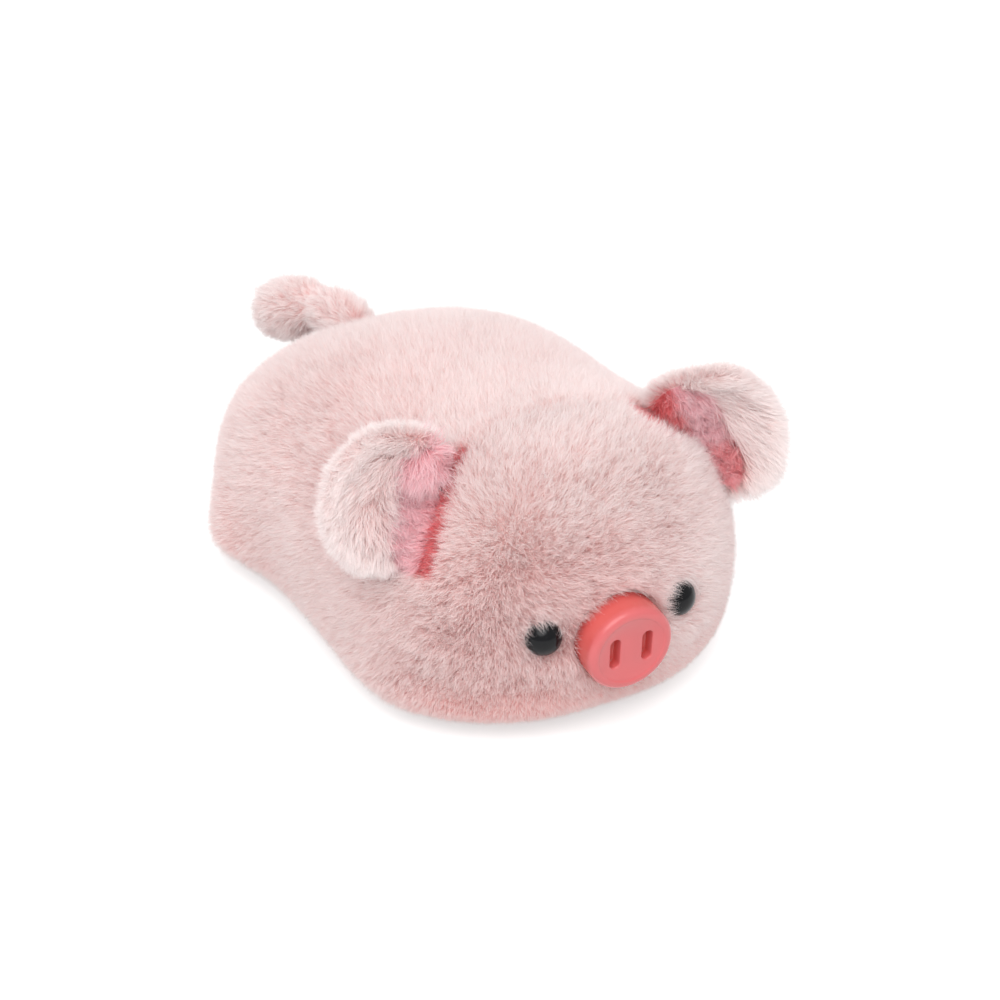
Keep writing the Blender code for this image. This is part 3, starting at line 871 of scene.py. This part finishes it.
def leafPoints(label, units, sizes, squareness, front, back):
    # Points of a flattened sphere, cupped forward, in the frame
    halfLength, centreOut, halfReach = sizes
    ring = np.hypot(units[:, 0], units[:, 1])
    corner = np.abs(units[:, 0]) ** squareness + np.abs(units[:, 1]) ** squareness
    corner = np.maximum(corner, 1e-12) ** (1.0 / squareness)
    spread = np.where(ring > 1e-6, ring / corner, 0.0)
    along = halfLength * units[:, 0] * spread
    out = centreOut + halfReach * units[:, 1] * spread
    top, depth = front(along, out), -back * earThickness(out)
    height = 0.5 * (top + depth) + 0.5 * (top - depth) * units[:, 2]
    return leafPlace(label, along, out, height)


def leafPlace(label, along, out, height):
    # From (along, out, height over the cup) of an ear's leaf to the frame
    height = height + cupRise(along)
    along = along + ear["leans"][label] * np.maximum(0.0, out)
    out = out - ear["seamOut"]
    cosine, sine = math.cos(ear["seamSlope"]), math.sin(ear["seamSlope"])
    x = sideOf(label) * (along * cosine + out * sine)
    local = np.stack([x, out * cosine - along * sine, height], 1)
    turn = np.array(earTurn(label))
    return local @ turn[:3, :3].T + turn[:3, 3]


def leafShares(label, points):
    # And back
    turn = np.array(earTurn(label).inverted())
    local = points @ turn[:3, :3].T + turn[:3, 3]
    cosine, sine = math.cos(ear["seamSlope"]), math.sin(ear["seamSlope"])
    x = local[:, 0] * sideOf(label)
    along = x * cosine - local[:, 1] * sine
    out = x * sine + local[:, 1] * cosine + ear["seamOut"]
    along = along - ear["leans"][label] * np.maximum(0.0, out)
    return along, out, local[:, 2] - cupRise(along)


def liningSizes(label):
    inset, (near, far) = ear["liningInset"], ear["liningEdges"][label]
    return ear["liningHalfLength"] - inset, 0.5 * (near + far), 0.5 * (far - near) - inset


def onPad(label, along, out):
    # Above one outside the lining's cloth, below one inside
    halfLength, centreOut, halfReach = liningSizes(label)
    power = ear["liningSquareness"]
    a, b = np.abs(along) / halfLength, np.abs(out - centreOut) / halfReach
    return (a**power + b**power) ** (1.0 / power)


def isPink(label, along, out):
    # Where the pile on the front of an ear has the lining's colour
    start, stop = ear["pinkEnds"][label]
    reach, bow = ear["pinkReach"][label]
    power = ear["liningSquareness"]
    reach = reach - bow * (np.minimum(along, 0.010) - 0.010) ** 2
    a = np.where(along < 0.0, along / start, along / stop)
    b = np.maximum(out, 0.0) / reach
    return a**power + b**power < 1.0


bodyTree = surfaceTree(bodyCloth.data)


def insideBody(points, depth):
    # True where a point is deeper than depth under the body's cloth
    hits = [bodyTree.find_nearest(row) for row in points]
    return np.array([(Vector(p) - h[0]).dot(h[1]) < -depth for p, h in zip(points, hits)])


def onSurface(rows, normals):
    # The part of each direction that lies along the surface
    return rows - normals * np.sum(rows * normals, 1)[:, None]


def leafLean(spots, normals, alongStep, outStep):
    # The direction on the leaf's surface that a step along and out makes
    label, along, out, height = spots
    step = 0.001
    tip = leafPlace(label, along + step * alongStep, out + step * outStep, height)
    return onSurface((tip - leafPlace(*spots)) / step, normals)


def fanLean(spots, normals, alongStep, outStep):
    # The same for steps of any length, and that length
    size = np.maximum(np.hypot(alongStep, outStep), 0.004)
    return leafLean(spots, normals, alongStep / size, outStep / size), size


def makeEar(label, seed):
    inset, body = earPile["inset"], label + "_ear"
    sizes = (ear["halfLength"] - inset, ear["centreOut"], ear["halfReach"] - inset)
    reach = ear["pinkReach"][label][0]

    def frontOf(along, out):
        middle = np.maximum(0.0, 1.0 - (along / ear["halfLength"]) ** 2)
        edge = easeShare(out, sizes[1] + sizes[2], reach + 0.002)
        edge *= easeShare(out, reach - 0.006, reach + 0.006)
        return earPile["clothFront"] + earPile["filling"][label] * middle * edge

    def shape(units):
        return leafPoints(label, units, sizes, ear["squareness"], frontOf, earPile["clothBack"])

    mesh = meshFrom("ear_cloth_" + label, shapedSphere(64, 40, shape, 0.0))
    node = "ear_outer_" + label
    leaf = pieceFrom(mesh, backingMaterial, body, "pile_fabric", node)

    def rimShare(along, out):
        return np.hypot(along / sizes[0], (out - sizes[1]) / sizes[2])

    def weight(points):
        # More strands round the rim, which is narrow
        along, out, _ = leafShares(label, points)
        return 1.0 + earPile["rimWeight"] * easeShare(rimShare(along, out), 0.84, 0.98)

    roots, normals = scatterRoots(leaf.data, earPile["count"], seed, weight)
    along, out, height = leafShares(label, roots)
    forward = np.array(earTurn(label))[:3, 2]
    covered = isPink(label, along, out) & (normals @ forward > 0.15)
    keep = ~(covered | insideBody(roots, -0.0025))
    roots, normals, along, out, height = kept(keep, roots, normals, along, out, height)
    spots, outStep = (label, along, out, height), out - earPile["fanCentre"]
    away, size = fanLean(spots, normals, along, outStep)
    fan, _ = fanLean(spots, normals, along - earPile["fanTops"][label], outStep)
    facing = easeShare(normals @ forward, 0.0, 0.8)[:, None]
    rim = rimShare(along, out)
    inside = facing * easeShare(rim, 0.92, 0.66)[:, None]
    flat = 0.34 + 0.80 * easeShare(size, 0.007, 0.018)[:, None]
    lean = away * earPile["backLean"] * (1.0 - facing) + fan * flat * facing
    downwards = leafLean(spots, normals, *earPile["hang"])
    drape = inside * easeShare(along, -0.004, -0.013)[:, None] * earPile["drape"][label]
    lean = lean * (1.0 - drape) + downwards * drape + waveField(roots, 0.016, seed + 1) * 0.22
    rng = np.random.default_rng(seed + 3)
    loose = easeShare(rim, 0.86, 0.97) * rng.normal(size=len(roots)) * earPile["rimStray"]
    lean += forward * loose[:, None]
    length = np.full(len(roots), earPile["lengths"][label])
    length *= 1.0 + earPile["fullness"][label] * inside[:, 0]
    topShare = earPile["topShares"][label]
    length *= topShare + (1.0 - topShare) * easeShare(along, -0.016, 0.010)
    line = growStrands(roots, normals, lean, length, earPile, seed + 2)
    tone = earPile["tone"] + rng.normal(size=len(roots)) * 0.20
    ring = bell(size - 0.011, 0.0045) * inside[:, 0]
    ring *= 0.7 + 1.2 * waveField(roots, 0.003, seed + 8)[:, 0]
    tone -= earPile["blush"][label] * ring
    name, rows = "ear_pile_" + label, (line, normals, tone)
    strandPiece(name, *rows, earPile, body, "pile_fabric", seed + 4, node)
    return leaf


def makeLining(label, leaf, seed):
    body, slot, node = label + "_ear", "ear_lining_fabric", "ear_lining_" + label

    def frontOf(along, out):
        return 0.0004 + ear["liningSwell"][label] * bell(out - 0.003, ear["liningSwellWidth"])

    def shape(units):
        form = (liningSizes(label), ear["liningSquareness"], frontOf, liningPile["clothBack"])
        return leafPoints(label, units, *form)

    mesh = meshFrom("lining_cloth_" + label, shapedSphere(40, 16, shape, 0.0))
    pad = pieceFrom(mesh, liningBacking, body, slot, node)
    roots, normals = scatterRoots(pad.data, liningPile["count"] * 2, seed)
    edgeRoots, edgeNormals = scatterRoots(leaf.data, liningPile["edgeCount"], seed + 7)
    along, out, height = leafShares(label, edgeRoots)
    forward = np.array(earTurn(label))[:3, 2]
    keep = isPink(label, along, out) & (onPad(label, along, out) > 0.98)
    keep &= edgeNormals @ forward > 0.0
    roots = np.concatenate([roots, edgeRoots[keep]])
    normals = np.concatenate([normals, edgeNormals[keep]])
    along, out, height = leafShares(label, roots)
    keep = (normals @ forward > -0.25) & ~insideBody(roots, -0.001)
    roots, normals, along, out, height = kept(keep, roots, normals, along, out, height)
    lean = leafLean((label, along, out, height), normals, *liningPile["combs"][label])
    lean += waveField(roots, 0.004, seed + 1) * 0.50 + waveField(roots, 0.015, seed + 5) * 0.25
    curls = waveField(roots, 0.0030, seed + 6)[:, 0]
    length = liningPile["lengths"][label] * (1.0 + 0.24 * curls)
    length *= 1.0 + 0.45 * easeShare(-along, 0.002, 0.013)
    line = growStrands(roots, normals, lean, length, liningPile, seed + 2)
    rng = np.random.default_rng(seed + 3)
    # Deep tone near the root: painted shade in the crease
    crease = ear["liningEdges"][label][0] + liningPile["creases"][label]
    tone = 0.06 + 0.86 * easeShare(out, crease, crease + 0.003)
    edge = ear["pinkReach"][label][0]
    lowDeep, edgeDeep = liningPile["deep"][label]
    tone -= lowDeep * easeShare(along, 0.003, 0.009)
    tone -= edgeDeep * easeShare(out, edge - 0.005, edge - 0.001)
    tone += rng.normal(size=len(roots)) * 0.16 + curls * 0.16
    name, rows = "lining_pile_" + label, (line, normals, tone)
    strandPiece(name, *rows, liningPile, body, slot, seed + 4, node)


print("ears: cloth, pile and lining")
leaves = {}
for label, seed in zip(sides, (100, 200)):
    leaves[label] = makeEar(label, seed)
    makeLining(label, leaves[label], seed + 50)


tail = {
    "line": (
        (0.000, 0.0650, 0.0470),
        (-0.0010, 0.0830, 0.0640),
        (-0.0080, 0.0990, 0.0640),
        (-0.0160, 0.1215, 0.0440),
    ),
    "radii": (0.0078, 0.0092, 0.0084, 0.0110, 0.0132),
    "bluntness": 2.8,
    "clothDepth": 0.0035,
}
tailPile = {
    "count": 30000,
    "straight": 0.40,
    "length": 0.0090,
    "shortest": 0.62,
    "width": 0.00017,
    "stray": 0.24,
    "upright": 0.85,
    "droop": 0.10,
    "lock": 0.50,
    "lockSize": 44,
    "pinch": (0.58, 0.11, 0.55),  # where along the tail, how wide, how much shorter
    "tuft": 0.30,  # more length on top of its end
    "tone": 0.84,
}


def tailLine(share):
    a, b, c, d = (np.array(point) for point in tail["line"])
    share = share[:, None]
    rest = 1.0 - share
    place = a * rest**3 + b * 3.0 * rest**2 * share + c * 3.0 * rest * share**2 + d * share**3
    heading = (b - a) * rest**2 + (c - b) * 2.0 * rest * share + (d - c) * share**2
    return place, unitRows(heading)


def tailPoints(units):
    station = units[:, 2]
    place, heading = tailLine(0.5 * (1.0 + station))
    side = unitRows(np.cross(np.array((0.0, 0.0, 1.0)), heading))
    top = np.cross(heading, side)
    angle = np.arctan2(units[:, 1], units[:, 0])[:, None]
    radius = curveOf(tail["radii"])(station) * blunt(station, tail["bluntness"])
    return place + (side * np.cos(angle) + top * np.sin(angle)) * radius[:, None]


def makeTail(seed):
    mesh = meshFrom("tail_cloth", shapedSphere(40, 36, tailPoints, -tail["clothDepth"]))
    cloth = pieceFrom(mesh, backingMaterial, "tail", "pile_fabric", "tail_stuffing")
    roots, normals = scatterRoots(cloth.data, tailPile["count"], seed)
    roots, normals = kept(~insideBody(roots, -0.003), roots, normals)
    shares = np.linspace(0.0, 1.0, 60)
    places, headings = tailLine(shares)
    near = np.argmin(np.linalg.norm(roots[:, None] - places[None], axis=2), axis=1)
    away = onSurface(headings[near], normals)
    lean = away * 0.50 + waveField(roots, 0.014, seed + 1) * 0.30
    place, width, share = tailPile["pinch"]
    pinch = share * bell(shares[near] - place, width)
    tuft = tailPile["tuft"] * easeShare(shares[near], 0.70, 0.90)
    tuft *= easeShare(normals[:, 2], -0.1, 0.5)
    length = tailPile["length"] * (1.0 - pinch + tuft)
    line = growStrands(roots, normals, lean, length, tailPile, seed + 2)
    rng = np.random.default_rng(seed + 3)
    tone = tailPile["tone"] + rng.normal(size=len(roots)) * 0.22
    rows = (line, normals, tone)
    strandPiece("tail_pile", *rows, tailPile, "tail", "pile_fabric", seed + 4, "tail_cover")


print("tail: cloth and pile")
makeTail(300)


seams = {
    "bellyHeight": 0.011,
    "neckTop": (-0.067, 0.094),
    "neckLean": 0.30,
    "browWidths": (0.031, 0.0165),
    "browTaper": 0.030,
    "faceOffset": 0.0018,
    "split": (-0.022, 0.036),  # the body's pieces meet here
}
# Where the body's pile is shorter, or of another tone that paints light and shade: the change, and
# between which values of x, y, z or the distance behind the neck seam it comes on
lengthChanges = (
    (-0.30, {"z": (0.046, 0.012)}),
    (-0.22, {"behind": (0.0, -0.016), "x": (0.030, 0.056)}),  # on the left of the head
    (-0.40, {"z": (0.034, 0.012), "y": (-0.070, -0.100)}),  # under its chin
)
paintedLightTones = (
    # painted light: paler higher up
    (0.05, {"z": (0.02, 0.08)}),
    # painted shade down the right side below the back, deeper again on the face
    (-0.17, {"x": (0.030, -0.010), "z": (0.078, 0.060), "y": (-0.015, -0.060)}),
    (-0.20, {"x": (0.030, -0.010), "z": (0.078, 0.060), "y": (-0.078, -0.108)}),
    # painted shade on the left side of the head
    (-0.18, {"x": (0.040, 0.058), "y": (-0.050, -0.075)}),
    # painted shade under the chin, by the floor
    (-0.34, {"z": (0.028, 0.010), "y": (-0.060, -0.100)}),
    # painted light on the top of the head
    (0.34, {"z": (0.062, 0.082), "y": (-0.058, -0.078)}),
)


def seamPlaces(points):
    # How far each point lies behind the neck seam and outside the brow's edges
    y, z = seams["neckTop"]
    behind = points[:, 1] - y - seams["neckLean"] * (points[:, 2] - z)
    ease = easeShare(-behind, 0.0, seams["browTaper"])
    wide, narrow = seams["browWidths"]
    half = wide + (narrow - wide) * ease
    side = points[:, 0] - seams["faceOffset"] * ease
    return behind, side, half


def regionShare(points, behind, ranges):
    share = np.ones(len(points))
    for axis, limits in ranges.items():
        values = behind if axis == "behind" else points[:, "xyz".index(axis)]
        share = share * easeShare(values, *limits)
    return share


def makeBodyPile(seed):
    def weight(points):
        hidden = easeShare(points[:, 2], 0.0075, 0.0045)
        front = easeShare(points[:, 1], -0.050, -0.072)
        share = 1.0 + (bodyPile["headShare"] - 1.0) * front
        return share * (1.0 - (1.0 - bodyPile["bellyShare"]) * hidden)

    roots, normals = scatterRoots(bodyCloth.data, bodyPile["count"], seed, weight)
    behind, side, half = seamPlaces(roots)
    rng = np.random.default_rng(seed + 1)

    # Combing: slow drifts of the nap, then away from the seams
    lean = waveField(roots, 0.055, seed + 2) * 0.22 + waveField(roots, 0.018, seed + 3) * 0.14
    neckPush = bell(behind, 0.007) * np.sign(behind)
    above = easeShare(roots[:, 2], 0.050, 0.075)
    lean += (neckPush * above)[:, None] * np.array((0.0, bodyPile["parting"], 0.0))
    onHead = easeShare(-behind, 0.0, 0.016)
    outward = unitRows(roots - np.array(snout["centre"]))
    lean += outward * (onHead * bodyPile["faceComb"])[:, None]
    lean += onHead[:, None] * np.array(bodyPile["headDrift"])
    lean = onSurface(lean, normals)

    # Round the eyes and the snout
    keep = np.ones(len(roots), bool)
    length = np.full(len(roots), bodyPile["length"])
    for change, ranges in lengthChanges:
        length *= 1.0 + change * regionShare(roots, behind, ranges)
    for label in sides:
        gap, offset, ahead = besideAxis(roots, label)
        near = np.abs(ahead) < 0.012
        keep &= ~((gap < eyes["radius"] + 0.0001) & near)
        push = bell(gap - eyes["radius"], 0.003) * near
        lean += unitRows(offset) * (push * eyes["parting"][label])[:, None]
        length *= 1.0 - 0.05 * push
    gap, offset, ahead = besideAxis(roots, "snout")
    near = roots[:, 1] < -0.08
    keep &= ~((gap < snout["radius"] + 0.0001) & near)
    length *= 1.0 + 0.14 * bell(gap - snout["radius"], 0.004) * near

    # Under the toy the pile is pressed flat and outwards
    pressed = easeShare(roots[:, 2], 0.012, 0.004) * bodyPile["pressed"]
    outwards = unitRows((roots + (0.0, 0.01, 0.0)) * (1.0, 1.0, 0.0))
    lean += outwards * pressed[:, None]

    # By the root of an ear the lining's colour runs onto the head
    pink = {}
    rosy = np.zeros(len(roots))
    for label in sides:
        along, out, height = leafShares(label, roots)
        narrowing = rootPile["narrowing"][label] * (along - rootPile["middle"][label]) ** 2
        within = rootPile["reach"][label] - narrowing - height
        close = (along > -0.0165) & (along < 0.021) & (out > -0.010) & (out < 0.014)
        close &= height > -0.002
        share = easeShare(within, 0.0, rootPile["soft"][label]) * close
        pink[label] = rng.uniform(size=len(roots)) < share
        crease = within < rootPile["crease"][label]
        crease = pink[label] & (crease | (height < rootPile["fold"][label]))
        cropped, fold = rootPile["cropped"][label], rootPile["fold"][label]
        grown = easeShare(height, fold, fold + rootPile["regrowth"][label])
        share = np.where(crease, cropped, cropped + (1.0 - cropped) * grown)
        length = np.where(pink[label], length * share, length)
        # Strands in the crease get a deep tone: painted shade
        rosy = np.where(pink[label], np.where(crease, 0.08, 0.86), rosy)

    pink = {label: members[keep] for label, members in pink.items()}
    roots, normals, lean, length, rosy = kept(keep, roots, normals, lean, length, rosy)
    line = growStrands(roots, normals, lean, length, bodyPile, seed + 4)

    # Nothing grows through the snout, a bead or an ear
    keep = np.ones(len(roots), bool)
    for points in line[1:]:
        gap, offset, ahead = besideAxis(points, "snout")
        keep &= ~((gap < snout["radius"]) & (ahead < 0.0) & (points[:, 1] < -0.08))
        for label in sides:
            gap, offset, ahead = besideAxis(points, label)
            rise = np.maximum(ahead + eyes["seat"], 0.0) / eyes["height"]
            inBead = (gap / eyes["radius"]) ** 2 + rise**2 < 1.0
            keep &= ~(inBead & (np.abs(ahead) < 0.010))
    for leaf in leaves.values():
        tree = surfaceTree(leaf.data)
        middle = meshRows(leaf.data).mean(0)
        close = np.nonzero(np.linalg.norm(roots - middle, axis=1) < 0.045)[0]
        for i in close:
            start, end = Vector(line[0][i]), Vector(line[3][i])
            ray = end - start
            if tree.ray_cast(start, ray.normalized(), ray.length)[0] is not None:
                keep[i] = False
    behind, side, half = seamPlaces(roots)
    tone = bodyPile["tone"] + waveField(roots, 0.040, seed + 5)[:, 0] * 0.07
    tone += rng.normal(size=len(roots)) * 0.19
    # Painted light on the top, painted shade down the sides and under the chin
    for change, ranges in paintedLightTones:
        tone += change * regionShare(roots, behind, ranges)

    # One piece for each panel, and more where it is large
    low, rear = roots[:, 2] < seams["bellyHeight"], behind > 0.0
    left, brow = side > 0.0, np.abs(side) < half
    ahead, last = roots[:, 1] < seams["split"][0], roots[:, 1] > seams["split"][1]
    groups = {
        "belly_pile_front": (low & ahead, "belly_panel"),
        "belly_pile_rear": (low & ~ahead, "belly_panel"),
        "brow_pile": (~low & ~rear & brow, "brow_panel"),
    }
    for label, own in zip(sides, (left, ~left)):
        panel, cheek = ~low & rear & own, ~low & ~rear & ~brow & own
        node = "body_panel_" + label
        groups["shoulder_pile_" + label] = (panel & ahead, node)
        groups["flank_pile_" + label] = (panel & ~ahead & ~last, node)
        groups["rump_pile_" + label] = (panel & last, node)
        groups["cheek_pile_" + label] = (cheek, "cheek_panel_" + label)
    plain = keep & ~(pink["left"] | pink["right"])
    body, slots = "pig_body", ("pile_fabric", "ear_lining_fabric")

    def chosen(members, tone):
        return kept(members, *line), normals[members], tone[members]

    for i, (name, (members, node)) in enumerate(groups.items()):
        rows = chosen(members & plain, tone)
        strandPiece(name, *rows, bodyPile, body, slots[0], seed + 10 + i, node)
    for i, label in enumerate(sides):
        members = pink[label] & keep
        rosy[members] += rng.normal(size=members.sum()) * 0.12
        rows = chosen(members, rosy)
        strandPiece("ear_root_pile_" + label, *rows, rootPile, body, slots[1], seed + 40 + i)


print("body: pile")
makeBodyPile(400)


bpy.context.scene.view_settings.view_transform = "Standard"
